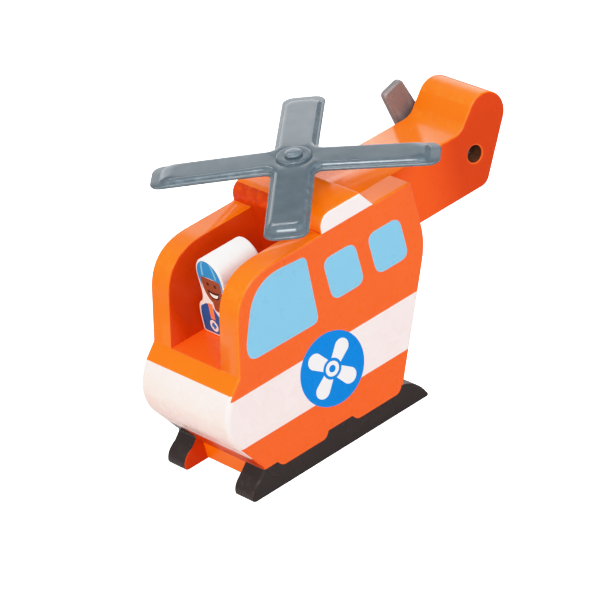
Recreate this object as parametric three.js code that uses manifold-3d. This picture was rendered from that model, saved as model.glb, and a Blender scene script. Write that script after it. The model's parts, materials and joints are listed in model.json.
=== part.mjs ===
// Toy helicopter: three glued boards, a leaning four-blade rotor on a pin, a tail rotor and a pilot block.
// Millimetres. +X points to the nose, +Y to port, +Z up. The origin is on the ground, mid length and mid width.
import * as THREE from 'three';
import { mergeVertices } from 'three/addons/utils/BufferGeometryUtils.js';
import Module from 'manifold-3d';

const wasm = await Module();
wasm.setup();

// ---- Driving dimensions ----------------------------------------------------------------------------
const LENGTH = 163; // nose to fin
const CENTRE_THICK = 32; // middle board
const SIDE_THICK = 12; // each outer board
const FLOOR_Z = 50.5; // cockpit floor, level with the bend of the sill
const ROOF_Z = 86; // roof, and top of the boom
const COWL_Z = 93.2; // top of the engine cowl
const BOOM_BOTTOM_Z = 60.6;
const NOSE_TIP_Z = 32.8; // height of the foremost point
const TIE = 0.3; // gap kept between pieces that touch inside a hole

// Stations, measured aft from the nose
const SILL_BEND_AFT = 11.2;
const WALL_AFT = 61.6; // wall behind the cockpit, and front of the cowl
const COWL_REAR_AFT = 82.3;
const COWL_FOOT_AFT = 87;
const SIDE_REAR_AFT = 105.4; // vertical rear edge of the outer boards
const MAST_AFT = 75.3;
const TAIL_AXLE_AFT = 144.4;
const TAIL_AXLE_Z = 75;

// Main rotor
const ROTOR_RADIUS = 55;
const BLADE_WIDTH = 16.8;
const ROTOR_PIVOT_Z = 101; // middle of the rotor's bore
const ROTOR_LEAN = new THREE.Vector3(-0.065, 0.084, 1); // the rotor leans about 6 degrees on its loose pin
const ROTOR_TURN = THREE.MathUtils.degToRad(48);
const BLADE_DROOP = 0.045; // fall of each blade per mm outwards of the hub
const HUB_RADIUS = 7;

// Tail rotor
const TAIL_RADIUS = 25;
const TAIL_TURN = THREE.MathUtils.degToRad(75);
const TAIL_THICK = 3.4;

// Pilot block
const PILOT_AFT = 26.3;
const PILOT_THICK = 19;
const PILOT_HEAD_RADIUS = 8.3;
const PILOT_HEAD_RISE = 26.9; // centre of the head above the base

// Dowels: one centre (aft, height) for each, in each of the two glue joints
const DOWEL_RADIUS = 3;
const DOWEL_LENGTH = 16;
const DOWEL_CENTRES = [[24, 30], [80, 58]];

const HALF_CENTRE = CENTRE_THICK / 2;
const HALF_WIDTH = HALF_CENTRE + SIDE_THICK;
const ROUND = 32; // sides of a small round

// ---- Materials -------------------------------------------------------------------------------------
const paint = (name, color, roughness) => new THREE.MeshStandardMaterial({ name, color, roughness });
const orangePaint = paint('orange_paint', 0xff6a2c, 0.28);
const greyPlastic = paint('grey_plastic', 0x76858f, 0.38);
const whitePaint = paint('white_paint', 0xf4efec, 0.3);
const bareBeech = paint('bare_beech', 0xd9b98a, 0.75);
const nylon = paint('nylon', 0xe8e4da, 0.5);
const steel = new THREE.MeshStandardMaterial({ name: 'steel', color: 0xb8bcc0, roughness: 0.3, metalness: 1 });

// ---- Solid helpers ---------------------------------------------------------------------------------
function toSolid(geometry) {
  const bare = geometry.clone();
  bare.deleteAttribute('normal');
  bare.deleteAttribute('uv');
  const merged = mergeVertices(bare, 1e-4);
  return new wasm.Manifold(new wasm.Mesh({
    numProp: 3,
    vertProperties: new Float32Array(merged.attributes.position.array),
    triVerts: new Uint32Array(merged.index.array),
  }));
}

function toGeometry(solid) {
  const mesh = solid.getMesh();
  const geometry = new THREE.BufferGeometry();
  geometry.setAttribute('position', new THREE.BufferAttribute(new Float32Array(mesh.vertProperties), 3));
  geometry.setIndex(new THREE.BufferAttribute(new Uint32Array(mesh.triVerts), 1));
  geometry.computeVertexNormals();
  return geometry;
}

function join(geometries) {
  return geometries.map(toSolid).reduce((sum, next) => sum.add(next));
}

function cut(solid, geometries) {
  return geometries.map(toSolid).reduce((rest, tool) => rest.subtract(tool), solid);
}

// Round bar along the local Z axis, from z = low to z = high
function bar(radius, low, high, x = 0, y = 0, sides = ROUND) {
  const geometry = new THREE.CylinderGeometry(radius, radius, high - low, sides);
  return geometry.rotateX(Math.PI / 2).translate(x, y, (low + high) / 2);
}

// A profile of (radius, height) points turned about the local Z axis; it closes on itself or on the axis
function turned(points, sides = ROUND) {
  const profile = points.map(([radius, height]) => new THREE.Vector2(radius, height));
  return mergeVertices(stripped(new THREE.LatheGeometry(profile, sides)), 1e-4).rotateX(Math.PI / 2);
}

function stripped(geometry) {
  geometry.deleteAttribute('normal');
  geometry.deleteAttribute('uv');
  return geometry;
}

function ring(inner, outer, low, high) {
  return turned([[inner, low], [outer, low], [outer, high], [inner, high], [inner, low]]);
}

function piece(name, geometry, material) {
  const mesh = new THREE.Mesh(geometry, material);
  mesh.name = name;
  return mesh;
}

// ---- Side outlines, drawn in the plane of the boards: x along the body, y for height -----------------
const fromNose = (aft) => LENGTH / 2 - aft;

// A pen that takes stations aft of the nose
function pen(shape) {
  return {
    move: (aft, z) => shape.moveTo(fromNose(aft), z),
    line: (aft, z) => shape.lineTo(fromNose(aft), z),
    bend: (cornerAft, cornerZ, aft, z) => shape.quadraticCurveTo(fromNose(cornerAft), cornerZ, fromNose(aft), z),
  };
}

// Rounded nose, from the top of the chin up to the bend of the sill
function drawNose(to) {
  to.line(2.7, 23.6);
  to.bend(0, 27.3, 0, NOSE_TIP_Z);
  to.bend(0, 38.6, 5.6, 45.4);
  to.line(SILL_BEND_AFT, FLOOR_Z);
}

// Cowl, from the foot of its front to the foot of its sloped rear
function drawCowl(to, shape) {
  const corner = 6;
  to.line(WALL_AFT, COWL_Z - corner);
  shape.absarc(fromNose(WALL_AFT + corner), COWL_Z - corner, corner, 0, Math.PI / 2, false);
  to.line(COWL_REAR_AFT, COWL_Z);
  to.line(COWL_FOOT_AFT, ROOF_Z);
}

// Outer board: nose, leaning pillar, roof, cowl, sloped rear edge and a skid with a tip at each end
function sideOutline() {
  const shape = new THREE.Shape();
  const to = pen(shape);
  to.move(4.4, 0);
  to.bend(2, 0, 2.5, 2.2);
  to.bend(3.2, 5.6, 7.8, 7.9);
  to.line(10.9, 10.8);
  drawNose(to);
  to.line(16.4, 70);
  to.bend(20.6, ROOF_Z, 38, ROOF_Z);
  to.line(WALL_AFT, ROOF_Z);
  drawCowl(to, shape);
  to.line(SIDE_REAR_AFT, ROOF_Z);
  to.line(SIDE_REAR_AFT, 67);
  to.bend(SIDE_REAR_AFT, 60.1, 101.6, 52.9);
  to.line(79.5, 10.6);
  to.bend(79.6, 10.1, 80.8, 9.9);
  to.bend(86.5, 7.6, 89.2, 1.2);
  to.bend(89.5, 0, 88.2, 0);
  to.line(4.4, 0);
  return shape;
}

// Middle board: nose, cockpit floor and rear wall, cowl, boom, raked round-topped fin, and flat foot
function centreOutline() {
  const shape = new THREE.Shape();
  const to = pen(shape);
  to.move(13.1, 0);
  to.line(13.1, 7.4);
  drawNose(to);
  to.line(WALL_AFT, FLOOR_Z);
  drawCowl(to, shape);
  to.line(137, ROOF_Z);
  to.bend(141, ROOF_Z, 143.4, 89.1);
  const fin = { aft: 154.2, z: 87.6, radius: 8.8 };
  shape.absarc(fromNose(fin.aft), fin.z, fin.radius, THREE.MathUtils.degToRad(42), THREE.MathUtils.degToRad(213.7), false);
  to.line(148.7, 63.2);
  to.bend(147, BOOM_BOTTOM_Z, 144.2, BOOM_BOTTOM_Z);
  to.line(109, BOOM_BOTTOM_Z);
  to.bend(105.4, BOOM_BOTTOM_Z, 103.4, 56.3);
  to.line(77.8, 7.4);
  to.line(77.8, 0);
  to.line(13.1, 0);
  return shape;
}

// In the boards' group the local Z axis points to starboard, so port = -Z
const BOARD_CURVE = 10;
function board(outline, low, high) {
  const geometry = new THREE.ExtrudeGeometry(outline, { depth: high - low, bevelEnabled: false, curveSegments: BOARD_CURVE });
  return geometry.translate(0, 0, low);
}

function dowelBar(radius, side, length, aft, z) {
  const middle = side * HALF_CENTRE;
  return bar(radius, middle - length / 2, middle + length / 2, fromNose(aft), z);
}

function dowelHoles(sides) {
  return sides.flatMap((side) => DOWEL_CENTRES.map(([aft, z]) => (
    dowelBar(DOWEL_RADIUS + TIE, side, DOWEL_LENGTH + 2 * TIE, aft, z))));
}

// Upright hole for the mast pin, from the cowl's top down
const PIN_RADIUS = 1.7;
const PIN_FOOT_Z = 72;
function mastHole() {
  const geometry = new THREE.CylinderGeometry(PIN_RADIUS + TIE, PIN_RADIUS + TIE, COWL_Z + 5 - PIN_FOOT_Z + TIE, ROUND);
  return geometry.translate(fromNose(MAST_AFT), (COWL_Z + 5 + PIN_FOOT_Z - TIE) / 2, 0);
}

// Tail bore: a running bore for the shaft, opened out on the port side for the screw's head
const TAIL_SHAFT_RADIUS = 2.2;
const COUNTERBORE_RADIUS = 3.5;
const COUNTERBORE_FLOOR = -8; // local Z, so 8 mm to port of the middle
function tailBore() {
  const x = fromNose(TAIL_AXLE_AFT);
  return [
    bar(TAIL_SHAFT_RADIUS + TIE, -HALF_CENTRE - 1, HALF_CENTRE + 1, x, TAIL_AXLE_Z),
    bar(COUNTERBORE_RADIUS, -HALF_CENTRE - 1, COUNTERBORE_FLOOR, x, TAIL_AXLE_Z),
  ];
}

function buildBoards() {
  const boards = new THREE.Group();
  boards.rotation.x = Math.PI / 2;
  const port = cut(toSolid(board(sideOutline(), -HALF_WIDTH, -HALF_CENTRE)), dowelHoles([-1]));
  const starboard = cut(toSolid(board(sideOutline(), HALF_CENTRE, HALF_WIDTH)), dowelHoles([1]));
  const centre = cut(toSolid(board(centreOutline(), -HALF_CENTRE, HALF_CENTRE)),
    [...dowelHoles([-1, 1]), mastHole(), ...tailBore()]);
  boards.add(piece('port_side_board', toGeometry(port), orangePaint));
  boards.add(piece('starboard_side_board', toGeometry(starboard), orangePaint));
  boards.add(piece('centre_board', toGeometry(centre), orangePaint));
  for (const [side, label] of [[-1, 'port'], [1, 'starboard']]) {
    DOWEL_CENTRES.forEach(([aft, z], index) => {
      const name = `${label}_dowel_${index === 0 ? 'front' : 'rear'}`;
      boards.add(piece(name, dowelBar(DOWEL_RADIUS, side, DOWEL_LENGTH, aft, z), bareBeech));
    });
  }
  return boards;
}

// ---- Main rotor ------------------------------------------------------------------------------------
// Four-armed cross outline with rounded tips and filleted inner corners
function crossOutline(half, reach, corner, fillet) {
  const shape = new THREE.Shape();
  for (let arm = 0; arm < 4; arm += 1) {
    const turn = arm * Math.PI / 2;
    const at = (x, y) => new THREE.Vector2(x, y).rotateAround(new THREE.Vector2(), turn);
    const start = at(half + fillet, -half);
    if (arm === 0) shape.moveTo(start.x, start.y);
    else shape.lineTo(start.x, start.y);
    for (const side of [-1, 1]) {
      const centre = at(reach - corner, side * (half - corner));
      const from = turn + (side < 0 ? -Math.PI / 2 : 0);
      shape.absarc(centre.x, centre.y, corner, from, from + Math.PI / 2, false);
    }
    const inner = at(half + fillet, half + fillet);
    shape.absarc(inner.x, inner.y, fillet, turn - Math.PI / 2, turn - Math.PI, true);
  }
  return shape;
}

// Heights in the rotor's own frame, measured from its pivot
const BOSS_BOTTOM = -5.7;
const FLANGE_BOTTOM = 1.2;
const FLANGE_TOP = 2.4;
const PAD_TOP = 4;
const HUB_TOP = 4.9;
const BORE_RADIUS = 2.6;

function rotorPlate(half, reach, corner, fillet, low, high) {
  const outline = crossOutline(half, reach, corner, fillet);
  const geometry = new THREE.ExtrudeGeometry(outline, { depth: high - low, bevelEnabled: false, curveSegments: 5 });
  return geometry.translate(0, 0, low);
}

// The blades fall away from the hub in a straight line
function droop(geometry) {
  const position = geometry.attributes.position;
  for (let i = 0; i < position.count; i += 1) {
    const out = Math.max(0, Math.hypot(position.getX(i), position.getY(i)) - HUB_RADIUS * 1.6);
    position.setZ(i, position.getZ(i) - out * BLADE_DROOP);
  }
  geometry.computeVertexNormals();
  return geometry;
}

function buildMainRotor() {
  const half = BLADE_WIDTH / 2;
  const rim = 1.5;
  const body = join([
    rotorPlate(half, ROTOR_RADIUS, 4.5, 3, FLANGE_BOTTOM, FLANGE_TOP),
    rotorPlate(half - rim, ROTOR_RADIUS - rim, 3.6, 3 + rim, FLANGE_TOP - 0.4, PAD_TOP),
    bar(HUB_RADIUS, PAD_TOP - 0.5, HUB_TOP),
    bar(5, BOSS_BOTTOM, FLANGE_BOTTOM + 0.5),
  ]);
  const bored = cut(body, [bar(BORE_RADIUS, BOSS_BOTTOM - 1, HUB_TOP + 1)]);
  const rotor = piece('main_rotor', droop(toGeometry(bored)), greyPlastic);
  rotor.rotation.z = ROTOR_TURN;
  const lean = new THREE.Group();
  lean.position.set(fromNose(MAST_AFT), 0, ROTOR_PIVOT_Z);
  lean.quaternion.setFromUnitVectors(new THREE.Vector3(0, 0, 1), ROTOR_LEAN.clone().normalize());
  lean.add(rotor);
  return lean;
}

// Upright pin with a domed head, and the washer under the rotor's boss
function buildMast() {
  const mast = new THREE.Group();
  mast.position.x = fromNose(MAST_AFT);
  const headBottom = 106.5;
  const pin = turned([
    [0, PIN_FOOT_Z], [1.1, PIN_FOOT_Z], [PIN_RADIUS, PIN_FOOT_Z + 0.9], [PIN_RADIUS, headBottom],
    [3.5, headBottom], [3.5, headBottom + 0.5], [3.1, headBottom + 1], [2, headBottom + 1.35], [0, headBottom + 1.5],
  ]);
  mast.add(piece('mast_pin', pin, greyPlastic));
  mast.add(piece('mast_washer', ring(2.3, 5.5, COWL_Z + TIE, COWL_Z + TIE + 0.8), nylon));
  return mast;
}

// ---- Tail rotor, in a frame whose local Z axis points to starboard -----------------------------------
function tailBladeOutline() {
  const shape = new THREE.Shape();
  const root = 6.4; // half width at the hub
  const tip = 5.2; // half width near the tip
  const corner = 2.4;
  shape.moveTo(0, -root);
  shape.lineTo(TAIL_RADIUS - corner, -tip);
  shape.quadraticCurveTo(TAIL_RADIUS, -tip, TAIL_RADIUS, -tip + corner);
  shape.lineTo(TAIL_RADIUS, tip - corner);
  shape.quadraticCurveTo(TAIL_RADIUS, tip, TAIL_RADIUS - corner, tip);
  shape.lineTo(0, root);
  shape.lineTo(-TAIL_RADIUS + corner, tip);
  shape.quadraticCurveTo(-TAIL_RADIUS, tip, -TAIL_RADIUS, tip - corner);
  shape.lineTo(-TAIL_RADIUS, -tip + corner);
  shape.quadraticCurveTo(-TAIL_RADIUS, -tip, -TAIL_RADIUS + corner, -tip);
  shape.lineTo(0, -root);
  return shape;
}

function buildTailRotor() {
  const tail = new THREE.Group();
  tail.rotation.x = Math.PI / 2;
  tail.position.set(fromNose(TAIL_AXLE_AFT), 0, TAIL_AXLE_Z);
  const hubLow = HALF_CENTRE + 1.4;
  const bladeLow = HALF_CENTRE + 2.3;
  const blades = new THREE.ExtrudeGeometry(tailBladeOutline(), { depth: TAIL_THICK, bevelEnabled: false, curveSegments: 4 });
  const shaftEnd = COUNTERBORE_FLOOR;
  const screwRadius = 1.1;
  const screwDepth = 12;
  const body = join([
    blades.translate(0, 0, bladeLow),
    bar(4.6, hubLow, bladeLow + TAIL_THICK + 0.9),
    bar(TAIL_SHAFT_RADIUS, shaftEnd, bladeLow + 1),
  ]);
  const bored = cut(body, [bar(screwRadius + TIE, shaftEnd - 1, shaftEnd + screwDepth + TIE)]);
  const rotor = piece('tail_rotor', toGeometry(bored), greyPlastic);
  rotor.rotation.z = TAIL_TURN;
  tail.add(rotor);

  // Screw and its washer, on the port side of the shaft's end
  const washerHigh = shaftEnd - TIE;
  const washerLow = washerHigh - 0.6;
  const headHigh = washerLow - TIE;
  const headLow = headHigh - 1.9;
  const screwBody = join([
    turned([[0, headLow], [1.7, headLow + 0.15], [2.5, headLow + 0.6], [2.9, headLow + 1.3], [2.9, headHigh], [0, headHigh]]),
    bar(screwRadius, headHigh - 0.2, shaftEnd + screwDepth, 0, 0, 20),
  ]);
  const slot = [[3, 0.7], [0.7, 3]].map(([width, height]) => (
    new THREE.BoxGeometry(width, height, 2).translate(0, 0, headLow)));
  tail.add(piece('tail_screw', toGeometry(cut(screwBody, slot)), steel));
  tail.add(piece('tail_washer', ring(screwRadius + TIE, 3.2, washerLow, washerHigh), steel));
  tail.add(piece('tail_thrust_washer', ring(TAIL_SHAFT_RADIUS + TIE, 4.6, HALF_CENTRE + TIE, hubLow - TIE), nylon));
  return tail;
}

// ---- Pilot block: a doll's outline, seen from the front, cut through a thick board --------------------
function pilotOutline() {
  const shape = new THREE.Shape();
  const head = PILOT_HEAD_RADIUS;
  const half = [[14.6, 1], [14.2, 7], [13.6, 12.6, 11.6, 13.6], [8.6, 15.2, head, 20]];
  shape.moveTo(-13.4, 0);
  shape.lineTo(13.4, 0);
  shape.quadraticCurveTo(14.6, 0, ...half[0]);
  shape.lineTo(...half[1]);
  shape.quadraticCurveTo(...half[2]);
  shape.quadraticCurveTo(...half[3]);
  shape.absarc(0, PILOT_HEAD_RISE, head, 0, Math.PI, false);
  shape.lineTo(-head, 20);
  shape.quadraticCurveTo(-8.6, 15.2, -11.6, 13.6);
  shape.quadraticCurveTo(-13.6, 12.6, -14.2, 7);
  shape.lineTo(-14.6, 1);
  shape.quadraticCurveTo(-14.6, 0, -13.4, 0);
  return shape;
}

function buildPilot() {
  const geometry = new THREE.ExtrudeGeometry(pilotOutline(), { depth: PILOT_THICK, bevelEnabled: false, curveSegments: 8 });
  const pilot = piece('pilot_figure', geometry, whitePaint);
  pilot.rotation.set(Math.PI / 2, Math.PI / 2, 0, 'XYZ');
  pilot.position.set(fromNose(PILOT_AFT + PILOT_THICK), 0, FLOOR_Z + TIE);
  return pilot;
}

const helicopter = new THREE.Group();
helicopter.name = 'toy_helicopter';
helicopter.add(buildBoards(), buildMainRotor(), buildMast(), buildTailRotor(), buildPilot());

export default helicopter;
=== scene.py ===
"""Looks of a wooden toy helicopter: painted boards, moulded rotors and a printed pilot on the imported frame.

Drawings are in millimetres and meshes in metres. A station is the distance aft of the nose, and a height is
above the ground, as in the part's own drawing. The near side is port (+Y).
"""
import json
from math import atan2, ceil, cos, hypot, pi, radians, sin, tan

import bmesh
import bpy
from mathutils import Matrix, Quaternion, Vector
from mathutils.geometry import delaunay_2d_cdt


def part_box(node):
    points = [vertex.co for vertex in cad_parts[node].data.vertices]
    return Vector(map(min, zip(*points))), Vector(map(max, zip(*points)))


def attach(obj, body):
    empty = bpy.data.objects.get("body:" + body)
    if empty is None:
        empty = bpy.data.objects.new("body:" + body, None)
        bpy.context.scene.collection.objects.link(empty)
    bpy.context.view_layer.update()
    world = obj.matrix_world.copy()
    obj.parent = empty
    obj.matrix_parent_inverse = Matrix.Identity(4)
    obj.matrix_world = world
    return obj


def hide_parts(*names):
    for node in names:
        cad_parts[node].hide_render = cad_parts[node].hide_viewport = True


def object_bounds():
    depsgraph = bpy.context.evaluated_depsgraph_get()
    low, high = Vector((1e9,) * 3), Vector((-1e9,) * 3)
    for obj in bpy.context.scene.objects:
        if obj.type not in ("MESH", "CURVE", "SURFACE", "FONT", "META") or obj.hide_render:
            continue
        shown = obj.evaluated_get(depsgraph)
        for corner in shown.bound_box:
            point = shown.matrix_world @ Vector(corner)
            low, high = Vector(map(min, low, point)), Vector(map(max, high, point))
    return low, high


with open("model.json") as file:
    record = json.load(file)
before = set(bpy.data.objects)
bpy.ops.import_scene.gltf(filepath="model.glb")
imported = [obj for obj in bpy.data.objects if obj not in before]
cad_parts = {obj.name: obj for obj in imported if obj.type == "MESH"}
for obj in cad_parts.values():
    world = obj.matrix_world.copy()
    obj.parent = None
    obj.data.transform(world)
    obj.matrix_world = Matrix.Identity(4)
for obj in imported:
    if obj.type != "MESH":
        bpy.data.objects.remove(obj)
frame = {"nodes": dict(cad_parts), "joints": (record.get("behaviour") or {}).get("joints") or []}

CAD_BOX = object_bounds()
CAD_CENTRE = (CAD_BOX[0] + CAD_BOX[1]) / 2
MM = 0.001
WELD = 0.002  # vertices closer than this, in mm, are one
REPEAT = 0.02  # and so are an outline's neighbouring points
SIDES = 48  # of most round forms


def box_mm(node):
    low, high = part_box(node)
    return low / MM, high / MM


# ---- Driving dimensions, from the frame where it holds them ------------------------------------------
SIDE_LOW, SIDE_HIGH = box_mm("port_side_board")
PILOT_LOW, PILOT_HIGH = box_mm("pilot_figure")
PIN_LOW, PIN_HIGH = box_mm("mast_pin")
JOINTS = {joint["name"]: joint for joint in frame["joints"]}

NOSE_X = SIDE_HIGH.x
HALF_CENTRE = box_mm("centre_board")[1].y
HALF_WIDTH = SIDE_HIGH.y
COWL_Z = SIDE_HIGH.z
SIDE_REAR = NOSE_X - SIDE_LOW.x
FLOOR_Z = 50.5
ROOF_Z = 86
BOOM_BOTTOM_Z = 60.6
NOSE_TIP_Z = 32.8
SILL_BEND = 11.2
WALL = 61.6  # wall behind the cockpit, and front of the cowl
COWL_FRONT_SHADE = 3.2  # the cowl's rounded front has painted shade this far aft of the wall
COWL_REAR = 82.3
COWL_FOOT = 87
FOOT_FRONT = 13.1  # the middle board's foot, between the skids
FOOT_REAR = 77.8
FOOT_TOP_Z = 7.4

BOARD_EDGE = 1.0  # radius of the sanded edges
NOSE_EDGE = 2.0  # radius of the side boards' edges on the nose
INNER_EDGE = 0.45  # radius of the side boards' inner edges
CORNER = 1.0  # radius of a board's outline corners

# Paint lines
STRIPE_LOW = 23.3
STRIPE_HIGH = 43.3
NOSE_PAINT_LOW = 17.5  # on the rims: the white goes round under the nose
NOSE_PAINT_HIGH = 45.4
SKID_PAINT_HIGH = 10.7
SKID_PAINT_LOW = 8.2
CHIN_REAR = 13  # the slope under the nose ends this far aft
ROUNDEL_CENTRE = Vector((NOSE_X - 50.7, 33.35))
ROUNDEL_RADIUS = 15.04


# ---- Drawing outlines --------------------------------------------------------------------------------
def spoke(angle):
    """The unit vector at that angle, in radians."""
    return Vector((cos(angle), sin(angle)))


def clamped(value):
    return max(0, min(1, value))


def per_point(value, points):
    """One value for each point, from such a list or from one value for all."""
    return value if isinstance(value, list) else [value] * len(points)


def curve_steps(length, step=0.7):
    return max(4, ceil(length / step))


class Pen:
    """Draws a closed outline through points of a plane; aft turns stations aft of the nose into x."""

    def __init__(self, aft=False):
        self.points = []
        self.aft = aft

    def place(self, a, b):
        return Vector((NOSE_X - a, b)) if self.aft else Vector((a, b))

    def to(self, a, b):
        self.points.append(self.place(a, b))

    def bend(self, corner_a, corner_b, a, b):
        start, corner, end = self.points[-1], self.place(corner_a, corner_b), self.place(a, b)
        steps = curve_steps((corner - start).length + (end - corner).length)
        for i in range(1, steps + 1):
            t = i / steps
            self.points.append(start * (1 - t) ** 2 + corner * 2 * t * (1 - t) + end * t * t)

    def arc(self, a, b, radius, start, end):
        centre = self.place(a, b)
        steps = curve_steps(abs(radians(end - start)) * radius)
        for i in range(steps + 1):
            angle = radians(start + (end - start) * i / steps)
            self.points.append(centre + spoke(angle) * radius)


def draw(moves, aft=False):
    """An outline from a list of moves: two numbers are a point, four a bend, five an arc."""
    pen = Pen(aft)
    for move in moves:
        {2: pen.to, 4: pen.bend, 5: pen.arc}[len(move)](*move)
    return without_repeats(pen.points)


def without_repeats(points):
    kept = []
    for point in points:
        if not kept or (point - kept[-1]).length > REPEAT:
            kept.append(point)
    if (kept[0] - kept[-1]).length <= REPEAT:
        kept.pop()
    return kept


def circle(centre, radius, sides=SIDES):
    return [Vector(centre) + spoke(2 * pi * i / sides) * radius for i in range(sides)]


def quarter_turns(count):
    """The rotation by that many right angles."""
    return Matrix.Rotation(pi / 2 * count, 2)


def quarter(x, y, radius, start, turn, steps=8):
    """Points between the ends of a quarter circle, given by its start and its turn of 90 or -90 degrees."""
    angles = [radians(start + turn * k / steps) for k in range(1, steps)]
    return [Vector((x, y)) + spoke(angle) * radius for angle in angles]


def turn_at(points, i):
    """Signed turn of the outline at point i, in radians: positive to the left."""
    ahead = points[(i + 1) % len(points)] - points[i]
    behind = points[i] - points[i - 1]
    return atan2(behind.x * ahead.y - behind.y * ahead.x, behind.dot(ahead))


def round_corners(points, radius, least=radians(24), share=0.45):
    """Puts an arc in place of each corner that turns enough, on no more than that share of a side."""
    rounded = []
    for i, point in enumerate(points):
        turn = turn_at(points, i)
        if abs(turn) < least:
            rounded.append(point)
            continue
        behind = points[i - 1] - point
        ahead = points[(i + 1) % len(points)] - point
        reach = min(radius * tan(abs(turn) / 2), behind.length * share, ahead.length * share)
        start = point + behind.normalized() * reach
        end = point + ahead.normalized() * reach
        steps = max(3, ceil(abs(turn) / radians(15)))
        for k in range(steps + 1):
            t = k / steps
            # A rational quadratic curve with these weights is an exact arc
            w0, w1, w2 = (1 - t) ** 2, 2 * t * (1 - t) * cos(turn / 2), t * t
            rounded.append((start * w0 + point * w1 + end * w2) / (w0 + w1 + w2))
    return rounded


def outward(points, i):
    """Mitred outward direction at point i of an outline that runs anticlockwise."""
    behind = (points[i] - points[i - 1]).normalized()
    ahead = (points[(i + 1) % len(points)] - points[i]).normalized()
    first = Vector((behind.y, -behind.x))
    second = Vector((ahead.y, -ahead.x))
    middle = (first + second).normalized()
    return middle / max(0.5, middle.dot(first))


def grown(points, distances):
    """The outline moved outwards, by a distance for each point."""
    return [p + outward(points, i) * distances[i] for i, p in enumerate(points)]


def inside(point, loop):
    """A point is inside a loop when an odd number of the loop's sides lie to its right."""
    hit = False
    for a, b in zip(loop, loop[1:] + loop[:1]):
        if (a.y > point.y) != (b.y > point.y):
            if point.x < a.x + (point.y - a.y) * (b.x - a.x) / (b.y - a.y):
                hit = not hit
    return hit


# ---- Building closed meshes --------------------------------------------------------------------------
class Body:
    """A closed mesh made of rings and caps. place(u, v, w) turns drawing numbers into a point."""

    def __init__(self, place):
        self.bm = bmesh.new()
        self.place = place

    def ring(self, points, w):
        heights = per_point(w, points)
        return [self.bm.verts.new(self.place(p.x, p.y, heights[i])) for i, p in enumerate(points)]

    def wall(self, rings, paint=0):
        for low, high in zip(rings, rings[1:]):
            for i in range(len(low)):
                j = (i + 1) % len(low)
                self.bm.faces.new((low[i], low[j], high[j], high[i])).material_index = paint

    def cap(self, outline, w, lines=(), holes=()):
        """Fills the outline at w, cut along the closed lines, and leaves the holes open."""
        points, edges = [], []
        for loop in [outline, *lines, *holes]:
            base = len(points)
            points += loop
            edges += [(base + i, base + (i + 1) % len(loop)) for i in range(len(loop))]
        made, _, faces, *_ = delaunay_2d_cdt(points, edges, [], 1, WELD / 4)
        verts = [self.bm.verts.new(self.place(p.x, p.y, w)) for p in made]
        for face in faces:
            middle = sum((made[i] for i in face), Vector((0, 0))) / len(face)
            if not any(inside(middle, hole) for hole in holes):
                self.bm.faces.new([verts[i] for i in face])

    def turned(self, centre, profile, paint=0, sides=SIDES, closed=False):
        """A round form through (radius, w) points; a closed one ends in a disc."""
        rings = [self.ring(circle(centre, radius, sides), w) for radius, w in profile]
        self.wall(rings, paint)
        if closed:
            self.bm.faces.new(rings[-1]).material_index = paint

    def split(self, height):
        """Cuts the faces that cross the level plane at that height."""
        up = Vector((0, 0, 1))
        geometry = [*self.bm.verts, *self.bm.edges, *self.bm.faces]
        bmesh.ops.bisect_plane(self.bm, geom=geometry, dist=WELD / 2, plane_co=up * height, plane_no=up)

    def weld(self):
        bmesh.ops.remove_doubles(self.bm, verts=self.bm.verts, dist=WELD)
        bmesh.ops.dissolve_degenerate(self.bm, edges=self.bm.edges, dist=WELD / 4)
        bmesh.ops.recalc_face_normals(self.bm, faces=self.bm.faces)

    def object(self, name, materials, smooth=38):
        """The object in metres, shaded smooth up to that many degrees, with its edges marked for wear and
        painted highlight.
        """
        bmesh.ops.scale(self.bm, vec=(MM, MM, MM), verts=self.bm.verts)
        mesh = bpy.data.meshes.new(name)
        self.bm.to_mesh(mesh)
        self.bm.free()
        for material in materials:
            mesh.materials.append(material)
        mark_edges(mesh)
        mesh.shade_smooth()
        mesh.set_sharp_from_angle(angle=radians(smooth))
        made = bpy.data.objects.new(name, mesh)
        bpy.context.scene.collection.objects.link(made)
        weighted = made.modifiers.new("weighted_normals", "WEIGHTED_NORMAL")
        weighted.keep_sharp = True
        return made


def mark_edges(mesh, flat_area=25e-6, gain=3.2):
    """Marks vertices whose normals lean away from the axes, unless they touch a face of that area in m2."""
    largest = [0.0] * len(mesh.vertices)
    for polygon in mesh.polygons:
        for index in polygon.vertices:
            largest[index] = max(largest[index], polygon.area)
    marks = mesh.attributes.new("edge", "FLOAT", "POINT")
    for vertex in mesh.vertices:
        straight = max(abs(c) for c in vertex.normal)
        mark = min(1, (1 - straight) * gain)
        marks.data[vertex.index].value = mark if largest[vertex.index] < flat_area else 0


def rounded_slab(body, outline, low, high, low_round, high_round, low_lines=(), high_lines=(),
                 low_holes=(), high_holes=(), steps=4):
    """A board between two planes, with its edges rounded by one radius or by one for each point."""
    low_round = per_point(low_round, outline)
    high_round = per_point(high_round, outline)
    rings = []
    for radii, plane, side in ((low_round, low, 1), (high_round, high, -1)):
        arc = []
        for k in range(steps + 1):
            angle = pi / 2 * k / steps
            loop = grown(outline, [-r * (1 - sin(angle)) for r in radii])
            arc.append(body.ring(loop, [plane + side * r * (1 - cos(angle)) for r in radii]))
        rings += arc if side > 0 else arc[::-1]
    body.wall(rings)
    body.cap(grown(outline, [-r for r in low_round]), low, low_lines, low_holes)
    body.cap(grown(outline, [-r for r in high_round]), high, high_lines, high_holes)


# ---- Materials ---------------------------------------------------------------------------------------
def linear(red, green, blue):
    """A colour given as the usual 0 to 255 numbers, as linear light."""
    def one(value):
        value /= 255
        return value / 12.92 if value <= 0.04045 else ((value + 0.055) / 1.055) ** 2.4
    return (one(red), one(green), one(blue), 1)


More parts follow.
